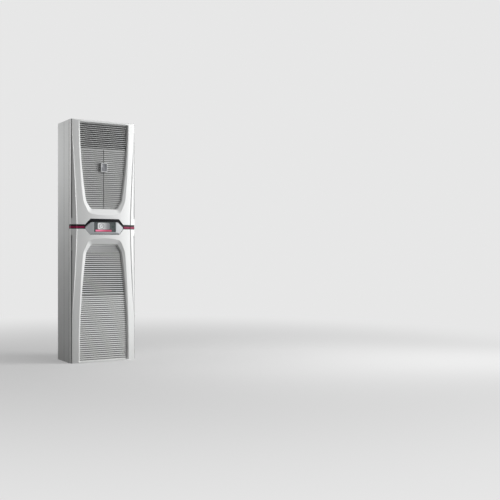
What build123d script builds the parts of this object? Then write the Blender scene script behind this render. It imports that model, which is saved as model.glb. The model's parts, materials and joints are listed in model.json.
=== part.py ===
"""Tall enclosure cooling unit: a sheet steel casing with two bowed and waisted front covers,
louvred grilles set in sloping recesses, and a display in a dark band between the covers.
Millimetres, +Z up, front towards -Y, origin in the middle of the footprint on the floor."""

import os
from math import sqrt

from build123d import *

os.makedirs("parts", exist_ok=True)

# Overall size
unit_width = 450.0
unit_depth = 294.0
unit_height = 1600.0

# Sheet steel casing
sheet = 2.0
seam = 1.0
tray_lip = 25.0
rear_half_depth = 128.0

# Front covers, bowed across the width
cover_return = 65.0
cover_wall = 3.0
bow_radius = 900.0

# Bevel between side and front: insets from the side, at the unit's front plane,
# at the bottom, halfway up to the band, at the band, halfway up to the top and at the top
bevel_back = 32.0
bevel_lead = 8.0
bevel_insets = (46.0, 50.0, 72.0, 52.0, 38.0)
edge_radius = 5.0

# Swage line where the bevel stands proud of the front, fading out towards both ends,
# with insets at the same heights
swage_rise = 4.0
swage_run = 1.6
swage_back = 40.0
swage_insets = (-42.0, 20.0, 48.0, 28.0, -8.0)

# Dark band between the covers
band_height = 896.0
band_width = 30.0
band_recess = 5.0
band_gap = 0.5
side_recess = 2.0
stripe_width = 13.0
stripe_rise = 1.5
stripe_lift = 5.0
stripe_end = 4.0

# Six-sided display housing in the middle of the band
display_half = 134.0
hood_half = 100.0
hood_rise = 52.5
bezel_half_top = 95.0
bezel_half_bottom = 102.0
bezel_rise = 32.0
bezel_corner = 0.0
bezel_drop = 52.5
bezel_depth = 30.0
bezel_setback = 2.0
bezel_slope = 12.0
bezel_gap = 2.5
cheek_margin = 4.0
chin_height = 14.0
chin_depth = 12.0
screen_width = 152.0
screen_height = 66.0
screen_rise = 8.5
screen_pocket = 8.0
screen_sheet = 4.0
screen_gap = 0.3

# Recesses in the covers: insets from the side, and distances from the band,
# at the unit's front plane (mouth) and at the grille (floor). The walls slope gently
# as far as a lip and drop from there to the floor. Leg radii are for the lower and upper recess
recess_depth = 25.0
recess_lead = 0.1
lip_depth = 0.74
lip_share = 0.94
mouth_inset_end = 0.0
mouth_inset_knee = 44.0
mouth_inset_flat = 104.0
mouth_flat = 76.0
mouth_knee = 165.0
mouth_leg_radii = (3900.0, 1700.0)
mouth_knee_radius = 120.0
mouth_flat_radius = 45.0
floor_inset_end = 57.0
floor_inset_knee = 101.5
floor_inset_flat = 134.0
floor_flat = 117.0
floor_knee = 168.0
floor_leg_radii = (5000.0, 3500.0)
floor_knee_radius = 80.0
floor_flat_radius = 20.0
end_overrun = 20.0
top_rim = 15.0
bottom_rim = 6.0
rim_setback = 11.0
rim_lap = 2.0

# Louvred grilles: the blades of the lower recess climb to the rear, with broad front edges,
# and those of the upper recess fall to the rear, with fine ones
exhaust_height = 176.0
exhaust_pitch = 13.15
exhaust_edge = 2.8
exhaust_rise = -6.5
intake_height = 334.0
intake_pitch = 13.65
intake_edge = 6.0
intake_rise = 3.5
louvre_blade = 2.2
louvre_depth = 14.0
louvre_setback = 0.5
louvre_side_gap = 1.0
blind_depth = 13.0
blind_step = 8.0
blind_groove = 4.0
flange_lap = 6.0
flange_cover = 3.0
split_bar = 4.0
chord_strip = 0.1

# Blowers
fan_plate_gap = 6.0
fan_eye_radius = 72.0
impeller_radius = 88.0
impeller_width = 60.0
impeller_plate = 3.0
blade_count = 11
wheel_sides = 33
blade_thickness = 2.5
blade_lean = 35.0
wheel_gap = 3.0
motor_radius = 48.0
motor_length = 28.0

# Coils
coil_margin = 32.0
coil_drop = 166.0
coil_foot = 30.0
coil_end_plate = 3.0
coil_rim = 8.0
coil_gap = 2.0

# Rear wall: air openings, finger guard, outlet louvres and fixings
opening_margin = 53.0
inlet_drop = 70.0
inlet_height = 260.0
outlet_bottom = 90.0
outlet_height = 300.0
guard_wire = 3.0
guard_ring_step = 36.0
guard_sides = 48
guard_spokes = 2
guard_lap = 12.0
guard_sheet = 2.0
outlet_pitch = 25.0
outlet_rise = 8.0
fixing_margin_x = 30.0
fixing_low = 60.0
fixing_top = 70.0
fixing_rows = 4
nut_bore = 3.4
nut_radius = 6.5
nut_length = 16.0
lifting_margin_x = 75.0
lifting_bore = 5.1
lifting_radius = 11.0
lifting_length = 22.0

half_width = unit_width / 2
front_y = -unit_depth / 2
rear_y = unit_depth / 2
inner_half = half_width - sheet
cover_rear_y = front_y + cover_return
split_y = rear_y - rear_half_depth
floor_y = front_y + recess_depth
cover_back_y = floor_y + cover_wall
rear_inner_y = rear_y - sheet
bezel_y = front_y + bezel_setback
band_top = band_height + band_width / 2
band_bottom = band_height - band_width / 2
window_top = unit_height - top_rim
exhaust_bottom = window_top - exhaust_height
intake_top = band_height - floor_flat
intake_bottom = intake_top - intake_height
fan_middle = (exhaust_bottom + window_top) / 2
rim_y = front_y + rim_setback
opening_half = inner_half - opening_margin
inlet_bottom = unit_height - inlet_drop - inlet_height
inlet_middle = inlet_bottom + inlet_height / 2
coil_top = band_height - coil_drop
fixing_half_x = half_width - fixing_margin_x
fixing_step = (unit_height - fixing_low - fixing_top) / (fixing_rows - 1)
lifting_half_x = half_width - lifting_margin_x
far = 2 * unit_depth


def front_plane(y):
    """Plane facing the front, with local x along X and local y along Z."""
    return Plane(origin=(0, y, 0), x_dir=(1, 0, 0), z_dir=(0, -1, 0))


def prism(face, y_one, y_other):
    """Solid with a front-view outline between two depths."""
    y_low = min(y_one, y_other)
    return extrude(front_plane(y_low) * face, amount=abs(y_other - y_one), dir=(0, 1, 0))


def block(x_one, x_other, y_low, y_high, z_low, z_high):
    """Plain rectangular block given by its limits."""
    centre = ((x_one + x_other) / 2, (y_low + y_high) / 2, (z_low + z_high) / 2)
    return Pos(*centre) * Box(abs(x_other - x_one), y_high - y_low, z_high - z_low)


def outline(points):
    """Straight-sided face."""
    return make_face(Polyline(*points, close=True))


def bar(points, x_low, x_high):
    """Bar along X with a section given by (y, z) points."""
    plane = Plane(origin=(x_low, 0, 0), x_dir=(0, 1, 0), z_dir=(1, 0, 0))
    return extrude(plane * outline(points), amount=x_high - x_low, dir=(1, 0, 0))


def blend(mouth, floor, share):
    """Value part of the way from the recess mouth to its floor."""
    return mouth + (floor - mouth) * share


def recess_outline(share, upward, end_z, grow=0.0):
    """Arch-shaped outline of a recess: wide at the unit's end, drawn in near the band."""
    side = 1 if upward else -1
    half_end = half_width - blend(mouth_inset_end, floor_inset_end, share) + grow
    half_knee = half_width - blend(mouth_inset_knee, floor_inset_knee, share) + grow
    half_flat = half_width - blend(mouth_inset_flat, floor_inset_flat, share) + grow / 2
    flat_z = band_height + side * (blend(mouth_flat, floor_flat, share) - grow)
    knee_z = band_height + side * (blend(mouth_knee, floor_knee, share) - grow / 4)
    leg_radius = side * blend(mouth_leg_radii[upward], floor_leg_radii[upward], share)
    right_leg = RadiusArc((half_end, end_z), (half_knee, knee_z), leg_radius)
    left_leg = RadiusArc((-half_knee, knee_z), (-half_end, end_z), leg_radius)
    throat = Polyline((half_knee, knee_z), (half_flat, flat_z), (-half_flat, flat_z), (-half_knee, knee_z))
    far_edge = Line((-half_end, end_z), (half_end, end_z))
    face = make_face([right_leg, throat, left_leg, far_edge])
    flat_corners = face.vertices().sort_by(Axis.Y, reverse=not upward)[0:2]
    face = fillet(flat_corners, blend(mouth_flat_radius, floor_flat_radius, share))
    knees = [corner for corner in face.vertices() if abs(corner.Y - knee_z) < chord_strip]
    return fillet(knees, blend(mouth_knee_radius, floor_knee_radius, share))


def recess_cutter(upward):
    """Sloping walls of a recess with a lip near the floor, open at the unit's end."""
    end_z = unit_height + end_overrun if upward else -end_overrun
    mouth_share = -recess_lead * lip_share / lip_depth
    mouth = front_plane(front_y - recess_lead * recess_depth) * recess_outline(mouth_share, upward, end_z)
    lip = front_plane(front_y + lip_depth * recess_depth) * recess_outline(lip_share, upward, end_z)
    floor = front_plane(floor_y) * recess_outline(1, upward, end_z)
    return loft([mouth, lip, floor], ruled=True)


def waisted_outline(insets, stretch, spread, overrun):
    """Outline of the front, drawn in towards the band by insets at five heights."""
    bottom, lower, waist, upper, top = [half_width - stretch * inset + spread for inset in insets]
    upper_z = (band_height + unit_height) / 2
    head_z = unit_height + overrun
    sides = []
    for side in (1, -1):
        middle = (side * waist, band_height)
        sides.append(ThreePointArc((side * bottom, -overrun), (side * lower, band_height / 2), middle))
        sides.append(ThreePointArc(middle, (side * upper, upper_z), (side * top, head_z)))
    foot = Line((-bottom, -overrun), (bottom, -overrun))
    head = Line((-top, head_z), (top, head_z))
    return make_face(sides + [foot, head])


def bowed_block(rise):
    """Block with a bowed front that stands a little ahead of the covers' own bow."""
    middle_y = front_y - rise
    side_y = middle_y + bow_radius - sqrt(bow_radius ** 2 - half_width ** 2)
    bow = ThreePointArc((-half_width, side_y), (0, middle_y), (half_width, side_y))
    box = Polyline((half_width, side_y), (half_width, cover_rear_y),
                   (-half_width, cover_rear_y), (-half_width, side_y))
    return extrude(make_face([bow, box]), amount=unit_height)


def front_block():
    """Whole front before it is split at the band: bevelled sides, a swage and a bowed middle."""
    back = outline([(half_width, 0), (half_width, band_height), (half_width, unit_height),
                    (-half_width, unit_height), (-half_width, band_height), (-half_width, 0)])
    lead_y = front_y - bevel_lead
    bevel_y = front_y + bevel_back
    lead_outline = waisted_outline(bevel_insets, (bevel_back + bevel_lead) / bevel_back, 0, 0)
    bevelled = loft([front_plane(lead_y) * lead_outline, front_plane(bevel_y) * back], ruled=True)
    bevelled += prism(back, bevel_y, cover_rear_y)
    sides = [edge for edge in bevelled.edges()
             if abs(edge.center().Y - bevel_y) < chord_strip and edge.bounding_box().size.Z > tray_lip]
    bevelled = fillet(sides, edge_radius)
    swage_y = front_y + half_width ** 2 / (2 * bow_radius) - swage_rise
    pan_y = front_y + swage_back
    mouth = waisted_outline(swage_insets, 1, (swage_y - lead_y) * swage_run, end_overrun)
    floor = waisted_outline(swage_insets, 1, (swage_y - pan_y) * swage_run, end_overrun)
    pan = loft([front_plane(lead_y) * mouth, front_plane(pan_y) * floor], ruled=True)
    return (bevelled & bowed_block(swage_rise)) - (pan - bowed_block(0))


def band_outline(gap):
    """Arms of the band with the six-sided display place in the middle, seen from the front."""
    arms = Pos(0, band_height) * Rectangle(2 * unit_width, band_width - 2 * gap)
    right = [
        (bezel_half_bottom - gap / 2, band_height - bezel_drop + gap),
        (display_half - gap, band_bottom + gap),
        (display_half - gap, band_top - gap),
        (hood_half - gap / 2, band_height + hood_rise - gap),
    ]
    left = [(-x, z) for x, z in reversed(right)]
    return arms + outline(right + left)


def upper_cover(whole):
    """Cover above the band, with a recess that ends below a sloping rim."""
    over = whole & block(-far, far, -far, far, band_height, unit_height)
    over -= prism(band_outline(0), -far, far)
    over -= recess_cutter(True) & block(-far, far, -far, far, band_height, window_top)
    over -= prism(recess_outline(1, True, window_top), -far, cover_rear_y)
    rim_top_y = rim_y + top_rim
    over -= bar([(-far, window_top), (rim_y, window_top), (rim_top_y, unit_height),
                 (rim_top_y, far + unit_height), (-far, far + unit_height)], -far, far)
    inner_x = half_width - cover_wall
    return over - block(-inner_x, inner_x, cover_back_y, far,
                        band_height + hood_rise + cover_wall, unit_height - cover_wall)


def lower_cover(whole):
    """Cover below the band, with a recess that ends above a plain rim."""
    under = whole & block(-far, far, -far, far, 0, band_height)
    under -= prism(band_outline(0), -far, far)
    under -= recess_cutter(False) & block(-far, far, -far, far, bottom_rim, band_height)
    under -= prism(recess_outline(1, False, bottom_rim), -far, cover_rear_y)
    under -= block(-far, far, -far, rim_y, -far, bottom_rim)
    inner_x = half_width - cover_wall
    return under - block(-inner_x, inner_x, cover_back_y, far,
                         cover_wall, band_height - bezel_drop - cover_wall)


def half_chord(face, z):
    """Half the width of an outline at a height."""
    return (face & Pos(0, z) * Rectangle(2 * unit_width, chord_strip)).bounding_box().size.X / 2


def open_blades(window, z_low, z_high, pitch, edge, rise):
    """Sloping louvre blades, cut to the window's width at their height."""
    front = cover_back_y + louvre_setback
    rear = cover_back_y + louvre_depth - louvre_setback
    foot = min(rise, 0)
    room = z_high - z_low - max(rise + louvre_blade, edge) + foot
    count = int(room / pitch) + 1
    start = z_low - foot + (room - (count - 1) * pitch) / 2
    rows = []
    for i in range(count):
        z = start + i * pitch
        half = min(half_chord(window, z), half_chord(window, z + rise))
        rows.append(bar([(front, z), (front, z + edge), (rear, z + rise + louvre_blade), (rear, z + rise)],
                        -half, half))
    return rows


def closed_blades(window, z_low, z_high, pitch, edge, edge_z):
    """Sheet pressed into a row of steps, each with its front edge at a height within the pitch."""
    front = cover_back_y + louvre_setback
    valley = front + blind_step
    back = cover_back_y + blind_depth
    count = int((z_high - z_low) / pitch)
    rows = [(back, z_high), (back, z_low)]
    for i in range(count):
        z = z_high - (count - i) * pitch
        rows += [(valley, z), (front, z + edge_z), (front, z + edge_z + edge)]
    steps = bar(rows + [(valley, z_high)], -half_width, half_width)
    return steps & prism(window, -far, far)


def grille_frame(upward, end_z, end_lap, depth):
    """Frame that seats a grille against the back of its cover."""
    side = 1 if upward else -1
    frame = prism(recess_outline(1, upward, end_z + side * end_lap, flange_lap),
                  cover_back_y, cover_back_y + depth)
    return frame - prism(recess_outline(1, upward, end_z - side * flange_cover, -flange_cover), -far, far)


def grille_window(upward, end_z):
    """Outline that a grille's infill is cut to, inside its frame."""
    side = 1 if upward else -1
    return recess_outline(1, upward, end_z - side * louvre_side_gap, -louvre_side_gap)


def cross_bar(window, z):
    """Bar across a window that ends its open louvres."""
    half = half_chord(window, z)
    return block(-half, half, cover_back_y, cover_back_y + louvre_depth, z, z + split_bar)


def exhaust_grille():
    """Open louvres at the top of the upper recess."""
    window = grille_window(True, window_top)
    frame = grille_frame(True, window_top, rim_lap, louvre_depth)
    frame &= block(-far, far, -far, far, exhaust_bottom, unit_height)
    blades = open_blades(window, exhaust_bottom + split_bar, window_top - flange_cover,
                         exhaust_pitch, exhaust_edge, exhaust_rise)
    return frame.fuse(cross_bar(window, exhaust_bottom), *blades)


def upper_blind_grille():
    """Closed louvres below the open ones, in two halves with a groove between."""
    top = exhaust_bottom - seam
    low = band_height + floor_flat
    steps = closed_blades(grille_window(True, window_top), low, top,
                          exhaust_pitch, exhaust_edge, exhaust_pitch - exhaust_edge)
    groove_y = cover_back_y + louvre_setback + blind_step + sheet
    steps -= block(-blind_groove / 2, blind_groove / 2, -far, groove_y, low, top)
    frame = grille_frame(True, window_top, rim_lap, blind_depth)
    return steps + (frame & block(-far, far, -far, far, band_top, top))


def intake_grille():
    """Open louvres at the top of the lower recess."""
    window = grille_window(False, bottom_rim)
    frame = grille_frame(False, bottom_rim, rim_lap, louvre_depth)
    frame &= block(-far, far, -far, far, intake_bottom, band_bottom)
    blades = open_blades(window, intake_bottom + split_bar, intake_top - flange_cover,
                         intake_pitch, intake_edge, intake_rise)
    return frame.fuse(cross_bar(window, intake_bottom), *blades)


def lower_blind_grille():
    """Closed louvres below the open ones of the lower recess."""
    top = intake_bottom - seam
    steps = closed_blades(grille_window(False, bottom_rim), bottom_rim, top, intake_pitch, intake_edge, 0)
    frame = grille_frame(False, bottom_rim, rim_lap, blind_depth)
    return steps + (frame & block(-far, far, -far, far, 0, top))


def bezel_outline(gap):
    """Six-sided display housing seen from the front."""
    right = [
        (bezel_half_bottom - gap / 2, band_height - bezel_drop + gap),
        (display_half - gap, band_bottom + gap),
        (display_half - gap, band_height + bezel_corner - gap),
        (bezel_half_top - gap / 2, band_height + bezel_rise - gap),
    ]
    left = [(-x, z) for x, z in reversed(right)]
    return outline(right + left)


def screen_block(gap, depth):
    """Block that fills the screen's pocket from its floor."""
    half = screen_width / 2 - gap
    middle = band_height + (bezel_rise - bezel_drop) / 2 + screen_rise
    floor = bezel_y + screen_pocket
    return block(-half, half, floor - depth, floor,
                 middle - screen_height / 2 + gap, middle + screen_height / 2 - gap)


def display_bezel():
    """Housing with a flat middle, cheeks and a chin that slope back, and a pocket for the screen."""
    cheek = screen_width / 2 + cheek_margin
    back = front_y + bezel_depth
    plan = outline([(-display_half, bezel_y + bezel_slope), (-cheek, bezel_y), (cheek, bezel_y),
                    (display_half, bezel_y + bezel_slope), (display_half, back), (-display_half, back)])
    body = extrude(plan, amount=unit_height) & prism(bezel_outline(bezel_gap), -far, far)
    chin_z = band_height - bezel_drop
    body -= bar([(front_y, chin_z), (front_y, chin_z + chin_height), (bezel_y, chin_z + chin_height),
                 (bezel_y + chin_depth, chin_z)], -display_half, display_half)
    return body - screen_block(0, screen_pocket)


def recessed_front(whole, setback, side_setback):
    """The front set back behind the covers, for what lies in the band."""
    reach = half_width - side_setback
    return Pos(0, setback, 0) * whole & block(-reach, reach, front_y, cover_rear_y, 0, unit_height)


def band_trim(whole):
    """Dark band with its hood over the display."""
    band = recessed_front(whole, band_recess, side_recess)
    band &= prism(band_outline(band_gap), -far, far)
    return band - prism(bezel_outline(0), -far, front_y + bezel_depth)


def stripe(whole, trim, side):
    """Coloured strip along one arm of the band, round onto the side wall."""
    low = band_bottom + stripe_lift
    zone = block(side * (display_half + stripe_end), side * half_width, -far, far, low, low + stripe_width)
    return (recessed_front(whole, band_recess - stripe_rise, side_recess - stripe_rise) & zone) - trim


def folded_sheet(z_low, z_high, plate_on_top):
    """Flat plate between the side walls with lips on all four sides."""
    body = block(-inner_half, inner_half, cover_rear_y, rear_inner_y, z_low, z_high)
    drop = -sheet if plate_on_top else sheet
    x_half = inner_half - sheet
    return body - block(-x_half, x_half, cover_rear_y + sheet, rear_inner_y - sheet,
                        z_low + drop, z_high + drop)


def lifting_points():
    """Places of the lifting bushes in the roof."""
    return [Pos(side * lifting_half_x, split_y, unit_height - lifting_length / 2) for side in (-1, 1)]


def hex_prism(radius, length):
    return extrude(RegularPolygon(radius, 6), amount=length / 2, both=True)


def roof_panel():
    roof = folded_sheet(unit_height - tray_lip, unit_height, True)
    for place in lifting_points():
        roof -= place * hex_prism(lifting_radius, lifting_length)
    return roof


def lifting_nuts():
    """Threaded six-sided bushes flush with the roof, for lifting eyes."""
    nut = hex_prism(lifting_radius, lifting_length) - Cylinder(lifting_bore, lifting_length)
    return Compound([place * nut for place in lifting_points()])


def side_wall(side, y_low, y_high):
    return block(side * inner_half, side * half_width, y_low, y_high, 0, unit_height)


def partition_wall():
    """Wall between the outside air and the enclosure air."""
    return block(-inner_half, inner_half, split_y - sheet, split_y, tray_lip, unit_height - tray_lip)


def fixing_points():
    """Places of the rear fixing nuts."""
    return [Pos(side * fixing_half_x, rear_y - nut_length / 2, fixing_low + row * fixing_step) * Rot(90, 0, 0)
            for row in range(fixing_rows) for side in (-1, 1)]


def rear_panel():
    wall = block(-inner_half, inner_half, rear_inner_y, rear_y, 0, unit_height)
    wall -= block(-opening_half, opening_half, 0, far, inlet_bottom, inlet_bottom + inlet_height)
    wall -= block(-opening_half, opening_half, 0, far, outlet_bottom, outlet_bottom + outlet_height)
    for place in fixing_points():
        wall -= place * hex_prism(nut_radius, nut_length)
    return wall


def fixing_nuts():
    """Six-sided blind rivet nuts flush with the rear face."""
    nut = hex_prism(nut_radius, nut_length) - Cylinder(nut_bore, nut_length)
    return Compound([place * nut for place in fixing_points()])


def rear_guard():
    """Finger guard over the inlet: a plate with a round eye closed by rings and spokes."""
    eye = inlet_height / 2 - guard_lap
    x_half = opening_half + guard_lap
    front = rear_inner_y - guard_sheet
    plate = block(-x_half, x_half, front, rear_inner_y, inlet_bottom - guard_lap,
                  inlet_bottom + inlet_height + guard_lap)
    plate -= prism(Pos(0, inlet_middle) * RegularPolygon(eye, guard_sides), -far, far)
    radii = [guard_ring_step * (i + 1) for i in range(int(eye / guard_ring_step))]
    rings = [RegularPolygon(radius, guard_sides) - RegularPolygon(radius - guard_wire, guard_sides)
             for radius in radii]
    spokes = [Rot(0, 0, 180 * i / guard_spokes) * Rectangle(2 * eye + guard_wire, guard_wire)
              for i in range(guard_spokes)]
    mesh = spokes[0].fuse(*spokes[1:], *rings)
    return plate + prism(Pos(0, inlet_middle) * mesh, front, rear_inner_y)


def rear_outlet():
    """Outlet louvres for the cooled air: sloping strips in a frame behind the rear wall."""
    x_half = opening_half + guard_lap
    front = rear_inner_y - louvre_depth
    outlet_top = outlet_bottom + outlet_height
    frame = block(-x_half, x_half, front, rear_inner_y, outlet_bottom - guard_lap, outlet_top + guard_lap)
    frame -= block(-opening_half, opening_half, -far, far, outlet_bottom, outlet_top)
    count = int((outlet_height - outlet_rise) / outlet_pitch)
    x_reach = opening_half + guard_lap / 2
    rows = []
    for i in range(count):
        z = outlet_bottom + outlet_pitch / 2 + i * outlet_pitch
        section = [(rear_inner_y, z), (rear_inner_y, z + louvre_blade),
                   (front, z + outlet_rise + louvre_blade), (front, z + outlet_rise)]
        rows.append(bar(section, -x_reach, x_reach))
    return frame.fuse(*rows)


def fan_plate():
    """Sheet behind the open louvres with the blower's eye."""
    y_low = cover_rear_y + fan_plate_gap
    plate = block(-inner_half, inner_half, y_low, y_low + sheet,
                  exhaust_bottom - tray_lip, unit_height - tray_lip)
    return plate - prism(Pos(0, fan_middle) * RegularPolygon(fan_eye_radius, wheel_sides), -far, far)


def impeller(eye_y, plate_y, middle):
    """Blower wheel: a back plate, blades that lean back and a ring round its eye."""
    inward = 1 if plate_y > eye_y else -1
    centre = Pos(0, middle)
    disc = RegularPolygon(impeller_radius, wheel_sides)
    wheel = prism(centre * disc, plate_y - inward * impeller_plate, plate_y)
    inner_radius = fan_eye_radius - impeller_plate
    ring = disc - RegularPolygon(inner_radius, wheel_sides)
    wheel += prism(centre * ring, eye_y, eye_y + inward * impeller_plate)
    reach = impeller_radius - inner_radius
    for i in range(blade_count):
        turn = centre * Rot(0, 0, 360 * i / blade_count) * Pos(impeller_radius - reach / 2, 0)
        wheel += prism(turn * Rot(0, 0, blade_lean) * Rectangle(reach, blade_thickness), eye_y, plate_y)
    return wheel


def motor(y_one, y_other, middle):
    """Outer-rotor motor can with short flats."""
    return prism(Pos(0, middle) * RegularPolygon(motor_radius, wheel_sides), y_one, y_other)


def coil(y_low, y_high):
    """Finned block between two end plates that stand on the tray."""
    half = inner_half - coil_margin
    fins = block(-half, half, y_low + coil_rim, y_high - coil_rim, coil_foot, coil_top)
    for side in (-1, 1):
        fins += block(side * half, side * (half + coil_end_plate), y_low, y_high, sheet, coil_top + coil_rim)
    return fins


def save(shape, name):
    export_step(shape, "parts/" + name + ".step")


whole_front = front_block()
trim = band_trim(whole_front)
save(upper_cover(whole_front), "upper_cover")
save(lower_cover(whole_front), "lower_cover")
save(exhaust_grille(), "exhaust_grille")
save(upper_blind_grille(), "upper_blind_grille")
save(intake_grille(), "intake_grille")
save(lower_blind_grille(), "lower_blind_grille")
save(trim, "band_trim")
save(stripe(whole_front, trim, -1), "left_stripe")
save(stripe(whole_front, trim, 1), "right_stripe")
save(display_bezel(), "display_bezel")
save(screen_block(screen_gap, screen_sheet), "display_screen")

save(folded_sheet(0, tray_lip, False), "base_tray")
save(roof_panel(), "roof_panel")
save(lifting_nuts(), "lifting_nuts")
save(rear_panel(), "rear_panel")
save(fixing_nuts(), "fixing_nuts")
save(rear_guard(), "rear_inlet_guard")
save(rear_outlet(), "rear_outlet_louvres")
save(partition_wall(), "partition_wall")
for side_name, side in (("left", -1), ("right", 1)):
    save(side_wall(side, cover_rear_y + seam, split_y - seam / 2), side_name + "_front_side")
    save(side_wall(side, split_y + seam / 2, rear_y), side_name + "_rear_side")

exhaust_eye_y = cover_rear_y + fan_plate_gap + sheet + wheel_gap
exhaust_plate_y = split_y - sheet - motor_length
save(fan_plate(), "exhaust_fan_plate")
save(impeller(exhaust_eye_y, exhaust_plate_y, fan_middle), "exhaust_impeller")
save(motor(exhaust_plate_y, split_y - sheet, fan_middle), "exhaust_motor")
inlet_eye_y = rear_inner_y - guard_sheet - wheel_gap
inlet_plate_y = inlet_eye_y - impeller_width
save(impeller(inlet_eye_y, inlet_plate_y, inlet_middle), "inlet_impeller")
save(motor(split_y, inlet_plate_y, inlet_middle), "inlet_motor")
save(coil(cover_rear_y + sheet + coil_gap, split_y - sheet - coil_gap), "condenser_coil")
save(coil(split_y + coil_gap, rear_inner_y - louvre_depth - coil_gap), "evaporator_coil")
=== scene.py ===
# %% [markdown]
# # Dressing a tall enclosure cooling unit
# The model of this unit comes from a CAD program: sheet steel casing, two bowed front covers,
# louvres, a display and the blowers and coils behind them. It is loaded here as a fixed frame.
# The steps below give every piece the finish it has on the real unit and add the small things
# that a CAD model leaves out.

# %% Load the unit
import json
import math

import bpy
from mathutils import Matrix, Vector


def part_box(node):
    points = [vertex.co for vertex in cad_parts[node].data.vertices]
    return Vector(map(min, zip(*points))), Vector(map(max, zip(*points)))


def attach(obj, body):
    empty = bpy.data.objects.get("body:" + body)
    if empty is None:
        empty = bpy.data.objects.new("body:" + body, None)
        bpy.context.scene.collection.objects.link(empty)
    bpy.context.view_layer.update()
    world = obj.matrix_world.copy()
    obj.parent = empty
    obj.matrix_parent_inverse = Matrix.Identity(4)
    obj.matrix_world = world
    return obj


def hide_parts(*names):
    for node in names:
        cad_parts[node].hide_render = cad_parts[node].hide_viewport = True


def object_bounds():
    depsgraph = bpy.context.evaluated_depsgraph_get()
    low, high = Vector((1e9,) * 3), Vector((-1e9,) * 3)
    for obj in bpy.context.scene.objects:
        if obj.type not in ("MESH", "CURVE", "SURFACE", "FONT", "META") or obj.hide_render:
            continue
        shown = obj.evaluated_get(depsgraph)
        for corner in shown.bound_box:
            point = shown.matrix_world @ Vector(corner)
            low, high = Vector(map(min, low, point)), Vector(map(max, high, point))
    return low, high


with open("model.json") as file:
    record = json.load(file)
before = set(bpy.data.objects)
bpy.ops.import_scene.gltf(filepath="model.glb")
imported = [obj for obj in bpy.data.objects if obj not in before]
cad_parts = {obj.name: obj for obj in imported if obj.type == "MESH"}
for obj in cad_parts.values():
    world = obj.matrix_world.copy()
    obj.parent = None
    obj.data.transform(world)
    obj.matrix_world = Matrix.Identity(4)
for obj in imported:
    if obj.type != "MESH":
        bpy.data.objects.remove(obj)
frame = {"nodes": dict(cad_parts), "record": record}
cad_low, cad_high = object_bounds()
unit = frame["nodes"]
print("pieces from the CAD model:", len(unit), "size:", [round(v, 3) for v in cad_high - cad_low])

# %% [markdown]
# ## The camera
# The unit is seen from its front left, from a little under half its height, by a level camera
# with a short telephoto lens. It could be aimed at the unit by a constraint, which would tilt it.
# A turn about the upright axis alone keeps it level, and the unit's upright edges stay upright in
# the picture. The turn is measured from the view straight onto the front.

# %% Camera
view_turn = math.radians(31.24)
view_place = (-2.039, -5.362, 0.742)
lens_millimetres = 59.85
sensor_millimetres = 36.0
camera_data = bpy.data.cameras.new("camera")
camera_data.sensor_width = sensor_millimetres
camera_data.lens = lens_millimetres
camera = bpy.data.objects.new("camera", camera_data)
camera.location = view_place
camera.rotation_euler = (math.pi / 2, 0.0, -view_turn)
bpy.context.scene.collection.objects.link(camera)
bpy.context.scene.camera = camera
bpy.context.scene.view_settings.view_transform = "Standard"
print("camera at", tuple(round(v, 2) for v in camera.location))

# %% [markdown]
# ## Small helpers for shader nodes
# A finish is a small network of nodes. These helpers add a node, link sockets by name and make
# a node group with named sockets, so that each finish below reads as a short recipe.

# %% Node helpers
def add_node(tree, kind, **settings):
    node = tree.nodes.new(kind)
    for key, value in settings.items():
        setattr(node, key, value)
    return node


def put(node, **values):
    for key, value in values.items():
        node.inputs[key.replace("_", " ")].default_value = value
    return node


def link(tree, source, output, target, entry):
    tree.links.new(source.outputs[output], target.inputs[entry])


def new_group(name, inputs, outputs):
    tree = bpy.data.node_groups.new(name, "ShaderNodeTree")
    for label, kind, start in inputs:
        socket = tree.interface.new_socket(label, in_out="INPUT", socket_type=kind)
        socket.default_value = start
    for label, kind in outputs:
        tree.interface.new_socket(label, in_out="OUTPUT", socket_type=kind)
    entry = tree.nodes.new("NodeGroupInput")
    leave = tree.nodes.new("NodeGroupOutput")
    return tree, entry, leave


number = "NodeSocketFloat"
colour = "NodeSocketColor"
# A Mix node has sockets of the same name for numbers and colours. These are the colour ones.
mix_first = 6
mix_second = 7
mix_result = 2
print("node helpers ready")

# %% [markdown]
# ## Powder coat grain
# Powder paint is baked on and never quite flat: seen close it has a fine orange peel. A picture
# of such paint would have to be unwrapped onto each panel and would repeat. Noise on the object's
# own coordinates gives the grain the same size everywhere. The group puts out a height for a Bump
# node and a roughness that shifts a little.

# %% Coat grain group
coat_grain, entry, leave = new_group(
    "coat_grain",
    [("Grain", number, 500.0), ("Gloss", number, 0.4), ("Spread", number, 0.08)],
    [("Height", number), ("Roughness", number)],
)
place = add_node(coat_grain, "ShaderNodeTexCoord")
peel = put(add_node(coat_grain, "ShaderNodeTexNoise"), Detail=2.0, Roughness=0.55)
cloud = put(add_node(coat_grain, "ShaderNodeTexNoise"), Scale=9.0, Detail=3.0)
spread = put(add_node(coat_grain, "ShaderNodeMapRange"), From_Min=0.3, From_Max=0.7)
low_gloss = add_node(coat_grain, "ShaderNodeMath", operation="SUBTRACT")
high_gloss = add_node(coat_grain, "ShaderNodeMath", operation="ADD")
link(coat_grain, place, "Object", peel, "Vector")
link(coat_grain, place, "Object", cloud, "Vector")
link(coat_grain, entry, "Grain", peel, "Scale")
for step in (low_gloss, high_gloss):
    link(coat_grain, entry, "Gloss", step, 0)
    link(coat_grain, entry, "Spread", step, 1)
link(coat_grain, cloud, "Fac", spread, "Value")
link(coat_grain, low_gloss, "Value", spread, "To Min")
link(coat_grain, high_gloss, "Value", spread, "To Max")
link(coat_grain, peel, "Fac", leave, "Height")
link(coat_grain, spread, "Result", leave, "Roughness")
print("group", coat_grain.name)

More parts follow.
